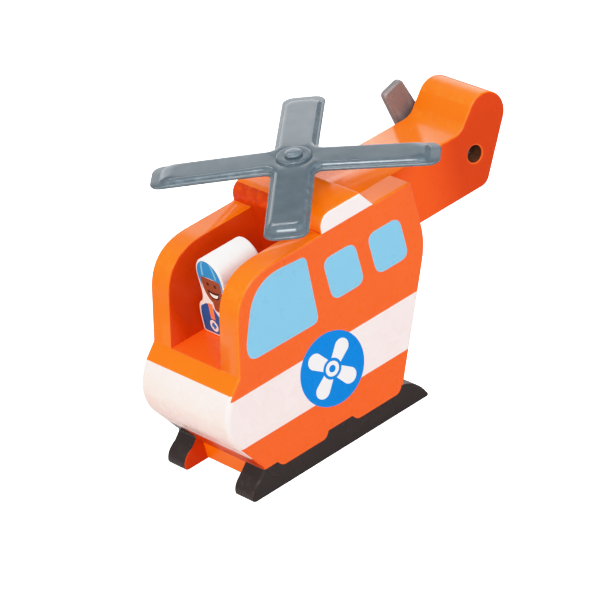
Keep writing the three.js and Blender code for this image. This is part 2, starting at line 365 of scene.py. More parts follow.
class Shader:
    """A material's node tree, with short calls to add and link nodes."""

    def __init__(self, name):
        self.material = bpy.data.materials.new(name)
        self.material.use_nodes = True
        self.tree = self.material.node_tree
        self.surface = self.tree.nodes["Principled BSDF"]
        self.where = self.add("ShaderNodeTexCoord").outputs["Object"]

    def add(self, kind, **settings):
        node = self.tree.nodes.new(kind)
        for key, value in settings.items():
            setattr(node, key, value)
        return node

    def link(self, source, target):
        self.tree.links.new(source, target)

    def noise(self, size, detail=3, stretch=(1, 1, 1), rough=0.5):
        """Noise with features of that size in mm, longer along an axis whose stretch is above 1."""
        mapping = self.add("ShaderNodeMapping")
        mapping.inputs["Scale"].default_value = [1 / (size * MM * s) for s in stretch]
        self.link(self.where, mapping.inputs["Vector"])
        texture = self.add("ShaderNodeTexNoise")
        texture.inputs["Scale"].default_value = 1
        texture.inputs["Detail"].default_value = detail
        texture.inputs["Roughness"].default_value = rough
        self.link(mapping.outputs[0], texture.inputs["Vector"])
        return texture.outputs["Fac"]

    def spread(self, value, low, high, to_low, to_high):
        """Stretches the part of a value from low to high, and holds it at the ends."""
        node = self.add("ShaderNodeMapRange")
        for key, number in zip(("From Min", "From Max", "To Min", "To Max"), (low, high, to_low, to_high)):
            node.inputs[key].default_value = number
        self.link(value, node.inputs["Value"])
        return node.outputs[0]

    def mix(self, amount, first, second):
        """Mixes two colours, each a colour or a socket, by the amount that comes from a socket."""
        node = self.add("ShaderNodeMix", data_type="RGBA")
        self.link(amount, node.inputs[0])
        for value, socket in ((first, node.inputs[6]), (second, node.inputs[7])):
            if isinstance(value, tuple):
                socket.default_value = value
            else:
                self.link(value, socket)
        return node.outputs[2]

    def times(self, first, second):
        node = self.add("ShaderNodeMath", operation="MULTIPLY")
        self.link(first, node.inputs[0])
        if isinstance(second, (float, int)):
            node.inputs[1].default_value = second
        else:
            self.link(second, node.inputs[1])
        return node.outputs[0]

    def bump(self, height, depth, strength, before=None):
        """Depth is the height of the relief in mm."""
        node = self.add("ShaderNodeBump")
        node.inputs["Strength"].default_value = strength
        node.inputs["Distance"].default_value = depth * MM
        self.link(height, node.inputs["Height"])
        if before is not None:
            self.link(before, node.inputs["Normal"])
        return node.outputs[0]

    def edges(self):
        """The marks that mark_edges leaves."""
        return self.add("ShaderNodeAttribute", attribute_name="edge").outputs["Fac"]

    def colour(self, source):
        self.link(source, self.surface.inputs["Base Color"])

    def roughness(self, source):
        self.link(source, self.surface.inputs["Roughness"])

    def relief(self, source):
        self.link(source, self.surface.inputs["Normal"])

    def set(self, **numbers):
        """Sets the surface's plain numbers, by name."""
        for key, value in numbers.items():
            self.surface.inputs[key.replace("_", " ")].default_value = value


def shade(colour, factor):
    return (colour[0] * factor, colour[1] * factor, colour[2] * factor, 1)


def paint(name, colour, worn, gloss=0.26, specular=0.4, grain_seen=1.0, fade=None):
    """Sprayed paint on wood: cloudy colour, faint grain showing through, orange peel, thin on the edges,
    which are lighter as wear and as painted highlight.

    A fade is a colour and the two distances along X, in mm, between which the paint changes into it, as the
    painted shade on the boom does.
    """
    shader = Shader(name)
    grain = (6, 1, 1)
    clouds = shader.spread(shader.noise(26, 3), 0.3, 0.7, 0, 1)
    base = shader.mix(clouds, shade(colour, 0.97), shade(colour, 1.03))
    streaks = shader.spread(shader.noise(1.6, 4, grain, 0.6), 0.35, 0.75, 0, 0.1 * grain_seen)
    base = shader.mix(streaks, base, shade(colour, 0.84))
    if fade:
        end_colour, start, end = fade
        along = shader.add("ShaderNodeSeparateXYZ")
        shader.link(shader.where, along.inputs[0])
        base = shader.mix(shader.spread(along.outputs[0], start * MM, end * MM, 0, 1), base, end_colour)
    patches = shader.spread(shader.noise(3.4, 4), 0.42, 0.66, 0.06, 0.5)
    # edges lighter: part wear, part painted highlight
    shader.colour(shader.mix(shader.times(shader.edges(), patches), base, worn))
    shader.roughness(shader.spread(shader.noise(9, 4), 0.3, 0.75, gloss - 0.05, gloss + 0.08))
    peel = shader.bump(shader.noise(1.1, 2), 0.009, 0.3)
    shader.relief(shader.bump(shader.noise(1.3, 4, grain, 0.6), 0.014, 0.3 * grain_seen, peel))
    shader.set(Specular_IOR_Level=specular, IOR=1.5)
    return shader.material


def ink(name, colour, gloss=0.3, specular=0.22):
    """A flat screen-printed film: even colour with a fine screen mottle and a soft sheen."""
    shader = Shader(name)
    mottle = shader.spread(shader.noise(0.8, 2), 0.3, 0.7, 0, 1)
    base = shader.mix(mottle, shade(colour, 0.97), shade(colour, 1.02))
    clouds = shader.spread(shader.noise(14, 3), 0.35, 0.7, 0, 0.5)
    shader.colour(shader.mix(clouds, base, shade(colour, 0.95)))
    shader.roughness(shader.spread(shader.noise(5, 3), 0.3, 0.7, gloss - 0.04, gloss + 0.06))
    shader.relief(shader.bump(shader.noise(1.1, 2), 0.009, 0.3))
    shader.set(Specular_IOR_Level=specular, IOR=1.5)
    return shader.material


def moulded_plastic(name, colour, gloss):
    """Moulded grey plastic: fine spark-eroded texture, faint flow lines and rubbed edges, lightened also as a
    painted highlight.
    """
    shader = Shader(name)
    flow = shader.spread(shader.noise(5, 4, (1, 1, 4)), 0.35, 0.7, 0, 1)
    base = shader.mix(flow, shade(colour, 0.93), shade(colour, 1.06))
    patches = shader.spread(shader.noise(2.5, 4), 0.4, 0.7, 0.2, 0.7)
    # edges much lighter: part rubbing, part painted highlight
    shader.colour(shader.mix(shader.times(shader.edges(), patches), base, shade(colour, 2.2)))
    shader.roughness(shader.spread(shader.noise(6, 4), 0.3, 0.7, gloss - 0.05, gloss + 0.08))
    shader.relief(shader.bump(shader.noise(0.35, 2), 0.006, 0.3))
    shader.set(Specular_IOR_Level=0.7, IOR=1.5)
    return shader.material


def bare_wood(name, light, dark, grain):
    """Unpainted beech: long fibres, short dark flecks and a dry surface."""
    shader = Shader(name)
    rings = shader.spread(shader.noise(1.4, 5, grain, 0.65), 0.3, 0.72, 0, 1)
    base = shader.mix(rings, light, dark)
    flecks = shader.spread(shader.noise(0.5, 2, (4, 1, 1)), 0.62, 0.72, 0, 0.6)
    shader.colour(shader.mix(flecks, base, shade(dark, 0.6)))
    shader.relief(shader.bump(shader.noise(0.7, 4, grain), 0.05, 0.5))
    shader.set(Roughness=0.72, Specular_IOR_Level=0.3)
    return shader.material


def nylon_plastic(name, colour):
    """Milky washer plastic with punching marks round its rim."""
    shader = Shader(name)
    marks = shader.spread(shader.noise(0.9, 3), 0.3, 0.7, 0, 1)
    shader.colour(shader.mix(marks, shade(colour, 0.92), colour))
    shader.relief(shader.bump(shader.noise(0.4, 3), 0.02, 0.4))
    shader.set(Roughness=0.42, Subsurface_Weight=0.1, Subsurface_Scale=0.001)
    return shader.material


def zinc_steel(name, colour):
    """Plated screw steel: cloudy zinc, fine turning marks and small dull spots."""
    shader = Shader(name)
    clouds = shader.spread(shader.noise(1.5, 4), 0.3, 0.7, 0, 1)
    shader.colour(shader.mix(clouds, shade(colour, 0.8), colour))
    shader.roughness(shader.spread(shader.noise(0.6, 4), 0.3, 0.7, 0.2, 0.42))
    shader.relief(shader.bump(shader.noise(0.25, 2, (1, 8, 1)), 0.01, 0.5))
    shader.set(Metallic=1.0)
    return shader.material


ORANGE = (0.97, 0.117, 0.007, 1)
RIM_ORANGE = (1.0, 0.184, 0.001, 1)  # the sprayed rims are yellower than the faces
PAINTED_SHADE_ORANGE = (0.66, 0.048, 0.001, 1)  # painted shade: a darker orange in the cockpit and on the cowl's front, fin and chin
# the painted shade's edges: lighter, partly as wear and partly as painted highlight
SHADE_WEAR_AND_GLINT = (0.95, 0.12, 0.01, 1)
BOOM_SHADE_FADE = ((0.9, 0.1, 0.007, 1), -55, -36)  # painted shade: the boom's sides grow lighter from the fin to the body

ORANGE_PAINT = paint("orange_paint", ORANGE, (1.0, 0.2, 0.03, 1), 0.27, 0.32)
RIM_PAINT = paint("orange_rim_paint", RIM_ORANGE, (1.0, 0.27, 0.03, 1), 0.22, 0.24)
PAINTED_SHADE_PAINT = paint("orange_painted_shade", PAINTED_SHADE_ORANGE, SHADE_WEAR_AND_GLINT, 0.3, 0.14)
BOOM_SHADE_PAINT = paint("orange_boom_painted_shade", PAINTED_SHADE_ORANGE, SHADE_WEAR_AND_GLINT, 0.3, 0.14, fade=BOOM_SHADE_FADE)
WHITE_PAINT = paint("white_paint", (0.92, 0.755, 0.745, 1), (0.9, 0.84, 0.82, 1), grain_seen=0.4)
SKID_PAINT = paint("black_paint", (0.022, 0.016, 0.015, 1), (0.045, 0.036, 0.032, 1), 0.24, 0.3)
WINDOW_INK = ink("window_blue", linear(130, 195, 225))
ROUNDEL_INK = ink("roundel_blue", linear(0, 131, 218), 0.3, 0.1)
SYMBOL_INK = ink("symbol_white", (0.88, 0.86, 0.88, 1))
# bare beech in the holes, much darker than the dowels' beech as painted shade
SHADED_BORE_WOOD = bare_wood("bore_wood_painted_shade", linear(104, 58, 28), linear(60, 30, 14), (1, 1, 6))
BEECH = bare_wood("dowel_beech", linear(222, 188, 142), linear(186, 142, 94), (1, 7, 1))
GREY_PLASTIC = moulded_plastic("grey_plastic", (0.074, 0.108, 0.134, 1), 0.15)
# painted reflection: a lighter grey than the blades' for the pin's head
PIN_PLASTIC = moulded_plastic("pin_grey_plastic", (0.11, 0.15, 0.18, 1), 0.22)
# painted light: a lighter, warmer grey than the main rotor's
TAIL_PLASTIC = moulded_plastic("tail_grey_plastic", (0.2, 0.18, 0.18, 1), 0.25)
NYLON = nylon_plastic("nylon", linear(232, 228, 218))
STEEL = zinc_steel("zinc_steel", linear(196, 198, 202))
PILOT_WHITE = paint("pilot_white", (0.9, 0.88, 0.87, 1), (0.92, 0.9, 0.88, 1), 0.32)
CAP_BLUE = ink("cap_blue", linear(0, 144, 214))
CAP_PALE = ink("cap_pale", linear(120, 200, 235))
SKIN = ink("skin_brown", linear(152, 74, 44))
VEST_BLUE = ink("vest_blue", linear(0, 92, 168))
STRAP_ORANGE = ink("strap_orange", linear(255, 140, 86))
LINE_DARK = ink("line_dark", linear(30, 10, 8))
TEETH_WHITE = ink("teeth_white", linear(255, 250, 245))

# ---- The boards --------------------------------------------------------------------------------------
NOSE_MOVES = [
    (2.7, 23.6),
    (0, 27.3, 0, NOSE_TIP_Z),
    (0, 38.6, 5.6, 45.4),
    (SILL_BEND, FLOOR_Z),
]
COWL_MOVES = [
    (WALL, COWL_Z - 6),
    (WALL + 6, COWL_Z - 6, 6, 0, 90),
    (COWL_REAR, COWL_Z),
    (COWL_FOOT, ROOF_Z),
]
SIDE_MOVES = [
    (4.4, 0),
    (2, 0, 2.5, 2.2),
    (3.2, 5.6, 7.8, 7.9),
    (10.9, 10.8),
    *NOSE_MOVES,
    (16.4, 70),
    (20.6, ROOF_Z, 38, ROOF_Z),
    (WALL, ROOF_Z),
    *COWL_MOVES,
    (SIDE_REAR, ROOF_Z),
    (SIDE_REAR, 67),
    (SIDE_REAR, 60.1, 101.6, 52.9),
    (79.5, 10.6),
    (79.6, 10.1, 80.8, 9.9),
    (86.5, 7.6, 89.2, 1.2),
    (89.5, 0, 88.2, 0),
]
CENTRE_MOVES = [
    (FOOT_FRONT, 0),
    (FOOT_FRONT, FOOT_TOP_Z),
    *NOSE_MOVES,
    (WALL, FLOOR_Z),
    *COWL_MOVES,
    (137, ROOF_Z),
    (141, ROOF_Z, 143.4, 89.1),
    (154.2, 87.6, 8.8, 42, 213.7),
    (148.7, 63.2),
    (147, BOOM_BOTTOM_Z, 144.2, BOOM_BOTTOM_Z),
    (109, BOOM_BOTTOM_Z),
    (105.4, BOOM_BOTTOM_Z, 103.4, 56.3),
    (FOOT_REAR, FOOT_TOP_Z),
    (FOOT_REAR, 0),
]

# Windows, from front to rear
FRONT_WINDOW = [
    (22.1, 54.4),
    (15.4, 54.3, 18.2, 62.4),
    (22.2, 71.2),
    (27.4, 83.2, 40.5, 82.7),
    (49.8, 81.9),
    (52.6, 81.7, 52.2, 78.6),
    (50.8, 57.2),
    (50.6, 54.1, 47.6, 54.1),
]


def rounded_window(front, rear, low, high, corner):
    """A window with straight sides and four round corners, drawn the way round that the front one is."""
    return draw([
        (front + corner, low),
        (front, low, front, low + corner),
        (front, high - corner),
        (front, high, front + corner, high),
        (rear - corner, high),
        (rear, high, rear, high - corner),
        (rear, low + corner),
        (rear, low, rear - corner, low),
    ], aft=True)


def skid_notch(front, rear):
    """A gap in the top of the skid's black paint, where the orange comes down between two tabs."""
    slope, soft = 1.5, 0.8
    return draw([
        (front, SKID_PAINT_HIGH),
        (front + slope, SKID_PAINT_LOW, front + slope + 2 * soft, SKID_PAINT_LOW),
        (rear - slope - 2 * soft, SKID_PAINT_LOW),
        (rear - slope, SKID_PAINT_LOW, rear, SKID_PAINT_HIGH),
    ], aft=True)


def rotor_symbol():
    """Four tapering rotor blades in a saltire, round a ring: a plain pictogram with no letter in it."""
    centre = ROUNDEL_CENTRE
    reach, root, tip = 12.4, 2.2, 3.3
    loop = []
    for blade in range(4):
        turn = Matrix.Rotation(radians(45 + 90 * blade), 2)
        side = [(root, -root), (reach - tip, -tip)]
        end = [(reach - tip + tip * cos(a), tip * sin(a)) for a in (radians(d) for d in range(-75, 76, 15))]
        loop += [centre + turn @ Vector(p) for p in [*side, *end, (reach - tip, tip)]]
    return loop, circle(centre, 4.3), circle(centre, 3.1, 40), circle(centre, 1.5, 24)


WINDOWS = [
    draw(FRONT_WINDOW, aft=True),
    rounded_window(58.8, 74.4, 58.6, 76.2, 4.2),
    rounded_window(80.4, 96.2, 58.4, 75.7, 4.2),
]
NOTCHES = [skid_notch(17.0, 41.9), skid_notch(53.7, 78.2)]
ROUNDEL_LOOP = circle(ROUNDEL_CENTRE, ROUNDEL_RADIUS, 2 * SIDES)
BLADES_LOOP, GAP_LOOP, RING_LOOP, DOT_LOOP = rotor_symbol()
SIDE_PRINT = [*WINDOWS, *NOTCHES, ROUNDEL_LOOP, BLADES_LOOP, GAP_LOOP, RING_LOOP, DOT_LOOP]

BOARD_PAINTS = [
    ORANGE_PAINT, WHITE_PAINT, SKID_PAINT, WINDOW_INK, ROUNDEL_INK, SYMBOL_INK,
    SHADED_BORE_WOOD, RIM_PAINT, PAINTED_SHADE_PAINT, BOOM_SHADE_PAINT,
]
(ORANGE_ID, WHITE_ID, BLACK_ID, WINDOW_ID, ROUNDEL_ID, SYMBOL_ID,
 BORE_ID, RIM_ID, PAINTED_SHADE_ID, BOOM_SHADE_ID) = range(len(BOARD_PAINTS))

DOWEL_RADIUS = 3.3  # of the holes
DOWEL_DEPTH = 8.3
BORE_LIP = 0.5  # round the hole through the fin
COUNTERBORE_DEPTH = 8
FLAT = 0.8  # across a board, the normals of its flat sides reach further than this
INNER_FLAT = -0.5  # and those of a side board's inner side lie below this


def symbol_paint(point):
    """Paint of a point in the roundel."""
    if inside(point, DOT_LOOP):
        return ROUNDEL_ID
    if inside(point, RING_LOOP):
        return SYMBOL_ID
    if inside(point, GAP_LOOP):
        return ROUNDEL_ID
    return SYMBOL_ID if inside(point, BLADES_LOOP) else ROUNDEL_ID


def outer_paint(point):
    """Paint of a point on a side board's outer face."""
    if inside(point, ROUNDEL_LOOP):
        return symbol_paint(point)
    if any(inside(point, window) for window in WINDOWS):
        return WINDOW_ID
    if point.y < SKID_PAINT_HIGH:
        return ORANGE_ID if any(inside(point, notch) for notch in NOTCHES) else BLACK_ID
    if STRIPE_LOW < point.y < STRIPE_HIGH or point.y > ROOF_Z:
        return WHITE_ID
    return ORANGE_ID


def chin_paint(point):
    """The slope under the nose has painted shade: it is darker than the other rims."""
    aft = NOSE_X - point.x
    return PAINTED_SHADE_ID if aft < CHIN_REAR and SKID_PAINT_LOW < point.y < NOSE_PAINT_LOW else RIM_ID


def rim_paint(point, skid_top=None, front_shade=COWL_FRONT_SHADE, near=0.2):
    """Paint of a point on a board's edge. Only a side board has a skid, black up to skid_top in front."""
    aft = NOSE_X - point.x
    if NOSE_PAINT_LOW < point.y < NOSE_PAINT_HIGH and aft < SILL_BEND:
        return WHITE_ID
    # painted shade on the wall behind the cockpit and on the cowl's rounded front
    if WALL - near < aft < WALL + front_shade and point.y > FLOOR_Z + near:
        return PAINTED_SHADE_ID
    if skid_top:
        black_top = skid_top if aft < CHIN_REAR else SKID_PAINT_HIGH
        return BLACK_ID if point.y < black_top else chin_paint(point)
    if SILL_BEND < aft < WALL - near and abs(point.y - FLOOR_Z) < near:
        return ORANGE_ID
    return chin_paint(point)


def dowel_centres(board):
    """Centres of the dowel holes, in the plane of the boards."""
    side = "port" if board > 0 else "starboard"
    boxes = [box_mm(f"{side}_dowel_{end}") for end in ("front", "rear")]
    return [Vector(((low.x + high.x) / 2, (low.z + high.z) / 2)) for low, high in boxes]


def inner_edge(point):
    """Radius of a side board's inner edge: rounded only where no other board lies against it."""
    aft = NOSE_X - point.x
    margin = 0.6
    cockpit = SILL_BEND + margin < aft < WALL - 1 and point.y > FLOOR_Z + 1
    over_foot = FOOT_FRONT - margin < aft < FOOT_REAR + margin
    skid_tip = point.y < FOOT_TOP_Z - 0.4 and not over_foot
    return INNER_EDGE if cockpit or skid_tip else 0.0


def outer_edge(point):
    """Radius of a side board's outer edge: it grows on the nose band and shrinks again above it."""
    low, high, run = 20, NOSE_PAINT_HIGH + 2, 5
    on_band = clamped(min(point.y - low, high - point.y) / run) if NOSE_X - point.x < SILL_BEND else 0
    return BOARD_EDGE + (NOSE_EDGE - BOARD_EDGE) * on_band


def build_side_board(side, node):
    """side is 1 for port and -1 for starboard, where the skid is black higher up and the cowl's front has
    painted shade.
    """
    outline = round_corners(draw(SIDE_MOVES, aft=True), CORNER)
    body = Body(lambda u, v, w: (u, side * w, v))
    centres = dowel_centres(side)
    holes = [circle(c, DOWEL_RADIUS) for c in centres]
    skid_top = SKID_PAINT_HIGH if side > 0 else NOSE_PAINT_LOW
    front_shade = 0 if side > 0 else COWL_FRONT_SHADE
    rounded_slab(body, outline, HALF_CENTRE, HALF_WIDTH, [inner_edge(p) for p in outline],
                 [outer_edge(p) for p in outline], high_lines=SIDE_PRINT, low_holes=holes)
    for centre in centres:
        hole = [(DOWEL_RADIUS, HALF_CENTRE), (DOWEL_RADIUS, HALF_CENTRE + DOWEL_DEPTH)]
        body.turned(centre, hole, BORE_ID, closed=True)
    body.weld()
    for height in (SKID_PAINT_HIGH, NOSE_PAINT_LOW, STRIPE_LOW, STRIPE_HIGH, NOSE_PAINT_HIGH, ROOF_Z + 0.1):
        body.split(height)
    for face in body.bm.faces:
        middle = face.calc_center_median()
        point = Vector((middle.x, middle.z))
        facing = face.normal.y * side
        if face.material_index == BORE_ID:
            continue
        if facing > FLAT:
            face.material_index = outer_paint(point)
        elif facing > INNER_FLAT:
            face.material_index = rim_paint(point, skid_top, front_shade)
        else:
            # the inner side gets painted shade
            face.material_index = PAINTED_SHADE_ID
    board = body.object(f"{node}_painted", BOARD_PAINTS)
    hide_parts(node)
    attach(board, "airframe")


def boom_edge(point):
    """Radius of the middle board's edge: rounded on the boom and fin, square where the side boards lie."""
    start, run = SIDE_REAR + 0.5, 2
    return BOARD_EDGE * clamped((NOSE_X - point.x - start) / run)


def tail_bore_profile():
    """Through the fin from port to starboard: a lip, the screw's counterbore, then the shaft's bore."""
    wide, narrow = 3.5, 2.5
    floor = HALF_CENTRE - COUNTERBORE_DEPTH
    worn = BORE_LIP * 0.3
    return [
        (wide + BORE_LIP, HALF_CENTRE),
        (wide + worn, HALF_CENTRE - worn),
        (wide, HALF_CENTRE - BORE_LIP),
        (wide, floor),
        (narrow, floor),
        (narrow, -HALF_CENTRE + BORE_LIP),
        (narrow + worn, -HALF_CENTRE + worn),
        (narrow + BORE_LIP, -HALF_CENTRE),
    ]


def cut_mast_hole(board):
    """Cuts the mast pin's upright hole with a bored-wood lining."""
    centre = Vector(((PIN_LOW.x + PIN_HIGH.x) / 2, (PIN_LOW.y + PIN_HIGH.y) / 2))
    cutter = Body(lambda u, v, w: (u, v, w))
    foot, head, radius, sides = PIN_LOW.z - 0.3, COWL_Z + 3, 2.0, 40
    cutter.turned(centre, [(radius, foot), (radius, head)], BORE_ID, sides, closed=True)
    cutter.cap(circle(centre, radius, sides), foot)
    cutter.weld()
    for face in cutter.bm.faces:
        face.material_index = BORE_ID
    tool = cutter.object("mast_hole_tool", BOARD_PAINTS)
    tool.modifiers.clear()
    bored = board.modifiers.new("mast_hole", "BOOLEAN")
    bored.object = tool
    bored.solver = "EXACT"
    board.modifiers.move(len(board.modifiers) - 1, 0)
    graph = bpy.context.evaluated_depsgraph_get()
    mesh = bpy.data.meshes.new_from_object(board.evaluated_get(graph), depsgraph=graph)
    board.modifiers.remove(bored)
    board.data = mesh
    bpy.data.objects.remove(tool)


def build_centre_board():
    outline = round_corners(draw(CENTRE_MOVES, aft=True), CORNER)
    body = Body(lambda u, v, w: (u, w, v))
    joint = JOINTS["tail_rotor_spin"]
    axle = Vector((joint["pos_m"][0] / MM, joint["pos_m"][2] / MM))
    bore = tail_bore_profile()
    blind = {side: [circle(c, DOWEL_RADIUS) for c in dowel_centres(side)] for side in (1, -1)}
    edge = [boom_edge(p) for p in outline]
    rounded_slab(body, outline, -HALF_CENTRE, HALF_CENTRE, edge, edge,
                 low_holes=[circle(axle, bore[-1][0]), *blind[-1]],
                 high_holes=[circle(axle, bore[0][0]), *blind[1]])
    body.turned(axle, bore, BORE_ID)
    for side in (1, -1):
        for centre in dowel_centres(side):
            mouth = side * HALF_CENTRE
            hole = [(DOWEL_RADIUS, mouth), (DOWEL_RADIUS, mouth - side * DOWEL_DEPTH)]
            body.turned(centre, hole, BORE_ID, closed=True)
    body.weld()
    for height in (NOSE_PAINT_LOW, NOSE_PAINT_HIGH):
        body.split(height)
    for face in body.bm.faces:
        middle = face.calc_center_median()
        if face.material_index == BORE_ID:
            if abs(middle.y) > HALF_CENTRE - BORE_LIP:
                face.material_index = ORANGE_ID
        elif abs(face.normal.y) < FLAT:
            face.material_index = rim_paint(Vector((middle.x, middle.z)))
        else:
            # the flat sides, bare on the boom and fin, carry painted shade that darkens towards the fin
            face.material_index = BOOM_SHADE_ID
    board = body.object("centre_board_painted", BOARD_PAINTS)
    cut_mast_hole(board)
    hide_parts("centre_board")
    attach(board, "airframe")


# ---- Main rotor and mast pin -------------------------------------------------------------------------
ROTOR_RADIUS = 55
BLADE_WIDTH = 16.8
BLADE_DROOP = 0.045  # fall of a blade for each mm along it
DROOP_START = 11.2  # from the pivot
ROTOR_TURN = radians(48)
SPIN = JOINTS["main_rotor_spin"]
PIVOT = Vector(SPIN["pos_m"]) / MM
LEAN = Vector((0, 0, 1)).rotation_difference(Vector(SPIN["axis"]))


def cross_outline(half, reach, corner, fillet):
    """A four-armed cross with round tips and filleted inner corners, with the same points at every size."""
    steps = 14
    run = reach - corner - half - fillet
    along = [half + fillet + run * i / steps for i in range(steps + 1)]
    arm = [
        *[Vector((x, -half)) for x in along],
        *quarter(reach - corner, corner - half, corner, -90, 90),
        Vector((reach, corner - half)),
        Vector((reach, half - corner)),
        *quarter(reach - corner, half - corner, corner, 0, 90),
        *[Vector((x, half)) for x in reversed(along)],
        *quarter(half + fillet, half + fillet, fillet, -90, -90),
    ]
    return [quarter_turns(turn) @ point for turn in range(4) for point in arm]


def rotor_place(u, v, w):
    """From the rotor's own frame, with its blades drooping, to the object's frame."""
    drop = max(0, hypot(u, v) - DROOP_START) * BLADE_DROOP
    return PIVOT + LEAN @ (Matrix.Rotation(ROTOR_TURN, 3, "Z") @ Vector((u, v, w - drop)))


PAD_TOP = 4
FLANGE_TOP = 2.4


def blade_levels(steps=10):
    """Side inset, tip inset and height above the pivot, from the flange's foot to the top of the pad."""
    levels = [
        (0.5, 0.5, 1.2), (0.15, 0.15, 1.32), (0, 0, 1.6), (0, 0, 1.95),
        (0.13, 0.13, 2.24), (0.42, 0.42, 2.38), (1.0, 3.4, FLANGE_TOP), (1.15, 3.8, FLANGE_TOP + 0.08),
    ]
    # The pad rises from the flange in a tight curve at its sides and a long one at its tip
    side, side_run, tip, tip_run, rise = 1.2, 2.3, 3.9, 4.8, PAD_TOP - FLANGE_TOP
    for k in range(1, steps + 1):
        angle = radians(90 * k / steps)
        share = 1 - cos(angle)
        levels.append((side + side_run * share, tip + tip_run * share, FLANGE_TOP + rise * sin(angle)))
    return levels


# Radius and height above the pivot: in over the ring, down the bore, under the boss and out to the flange
HUB = [
    (7.5, 4.0), (7.25, 3.92), (7.05, 3.82), (6.9, 3.9), (6.85, 4.45), (6.75, 4.72), (6.5, 4.86), (6.2, 4.9),
    (2.85, 4.9), (2.6, 4.65), (2.6, -5.4), (2.8, -5.7), (4.7, -5.7), (5.0, -5.4), (5.0, 0.9), (5.3, 1.2),
]


def build_main_rotor():
    """A flange, a raised pad with rounded shoulders, and a hub ring round the bore."""
    half, reach, corner, fillet, sides = BLADE_WIDTH / 2, ROTOR_RADIUS, 4.5, 3, 64
    body = Body(rotor_place)
    rings, loops = [], []
    for side, tip, height in blade_levels():
        loops.append(cross_outline(half - side, reach - tip, corner - 0.4 * side, fillet + side))
        rings.append(body.ring(loops[-1], height))
    body.wall(rings)
    for loop, (radius, height) in ((loops[0], HUB[-1]), (loops[-1], HUB[0])):
        body.cap(loop, height, holes=[circle((0, 0), radius, sides)])
    body.turned((0, 0), HUB, sides=sides)
    body.weld()
    rotor = body.object("main_rotor_moulded", [GREY_PLASTIC], 50)
    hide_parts("main_rotor")
    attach(rotor, "main_rotor")


def pin_place(u, v, w):
    """Heights are from the pivot: the pin is upright below it, and its head lies square to the rotor."""
    local = Vector((u, v, w))
    return PIVOT + (LEAN @ local if w > 0 else local)


def build_mast_pin():
    """A plain pin with a low domed head over the hub ring."""
    foot = PIN_LOW.z - PIVOT.z
    shaft, head, under, top = 1.7, 3.5, 5.1, 6.5
    profile = [
        (0.9, foot), (1.3, foot + 0.4), (shaft, foot + 1.0), (shaft, -0.5), (shaft, under),
        (head - 0.2, under), (head, under + 0.15), (head, under + 0.55), (head - 0.12, top - 0.62),
        (head - 0.4, top - 0.38), (head - 0.9, top - 0.2), (1.8, top - 0.08), (0.8, top),
    ]
    body = Body(pin_place)
    body.turned((0, 0), profile, closed=True)
    body.cap(circle((0, 0), profile[0][0]), foot)
    body.weld()
    pin = body.object("mast_pin_moulded", [PIN_PLASTIC], 50)
    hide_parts("mast_pin")
    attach(pin, "airframe")


# ---- Tail rotor --------------------------------------------------------------------------------------
TAIL_RADIUS = 25
TAIL_THICK = 3.4
TAIL_TURN = radians(75)


def tail_place(u, v, w):
    """From the tail rotor's own frame to the object's; w runs to starboard from the middle of the boom."""
    joint = JOINTS["tail_rotor_spin"]
    turned = Matrix.Rotation(TAIL_TURN, 2) @ Vector((u, v))
    return Vector((joint["pos_m"][0] / MM + turned.x, -w, joint["pos_m"][2] / MM + turned.y))


def build_tail_rotor():
    """Two blades with rounded edges on a hub, with its shaft moulded on and bored for the screw."""
    root, tip, corner = 6.4, 5.2, 2.4
    half = [
        (0, -root), (TAIL_RADIUS - corner, -tip), (TAIL_RADIUS, -tip, TAIL_RADIUS, corner - tip),
        (TAIL_RADIUS, tip - corner), (TAIL_RADIUS, tip, TAIL_RADIUS - corner, tip),
    ]
    other = [(0, root), *[tuple(-n for n in move) for move in half[1:]]]
    outline = draw([*half, *other])
    low = -box_mm("tail_thrust_washer")[0].y + 1.2  # the hub reaches back to the washer
    high = low + TAIL_THICK
    hub, rise, edge = 4.6, 0.9, 0.9
    shaft, screw_hole, screw_depth = 2.2, 1.4, 12.3
    shaft_end = COUNTERBORE_DEPTH - HALF_CENTRE
    body = Body(tail_place)
    hub_hole = [circle((0, 0), hub)]
    rounded_slab(body, outline, low, high, edge, edge, low_holes=hub_hole, high_holes=hub_hole)
    body.turned((0, 0), [
        (hub, high), (hub, high + 0.5), (hub - 0.15, high + 0.78), (hub - 0.5, high + rise),
        (2.6, high + rise), (2.3, high + 0.75), (2.0, high + 0.55), (1.2, high + 0.5),
    ], closed=True)
    body.turned((0, 0), [
        (hub, low), (hub, low - 0.7), (hub - 0.2, low - rise), (shaft, low - rise),
        (shaft, shaft_end + 0.3), (shaft - 0.3, shaft_end), (screw_hole, shaft_end),
        (screw_hole, shaft_end + screw_depth),
    ], closed=True)
    body.weld()
    rotor = body.object("tail_rotor_moulded", [TAIL_PLASTIC], 50)
    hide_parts("tail_rotor")
    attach(rotor, "tail_rotor")


# ---- Pilot -------------------------------------------------------------------------------------------
PILOT_MOVES = [
    (-13.4, 0), (13.4, 0), (14.6, 0, 14.6, 1), (14.2, 7), (13.6, 12.6, 11.6, 13.6), (8.6, 15.2, 8.3, 20),
    (0, 26.9, 8.3, 0, 180), (-8.3, 20), (-8.6, 15.2, -11.6, 13.6), (-13.6, 12.6, -14.2, 7), (-14.6, 1),
    (-14.6, 0, -13.4, 0),
]
PILOT_EDGE = 0.7


def mirrored(loop):
    """The loop on the doll's other side."""
    return [Vector((-p.x, p.y)) for p in reversed(loop)]


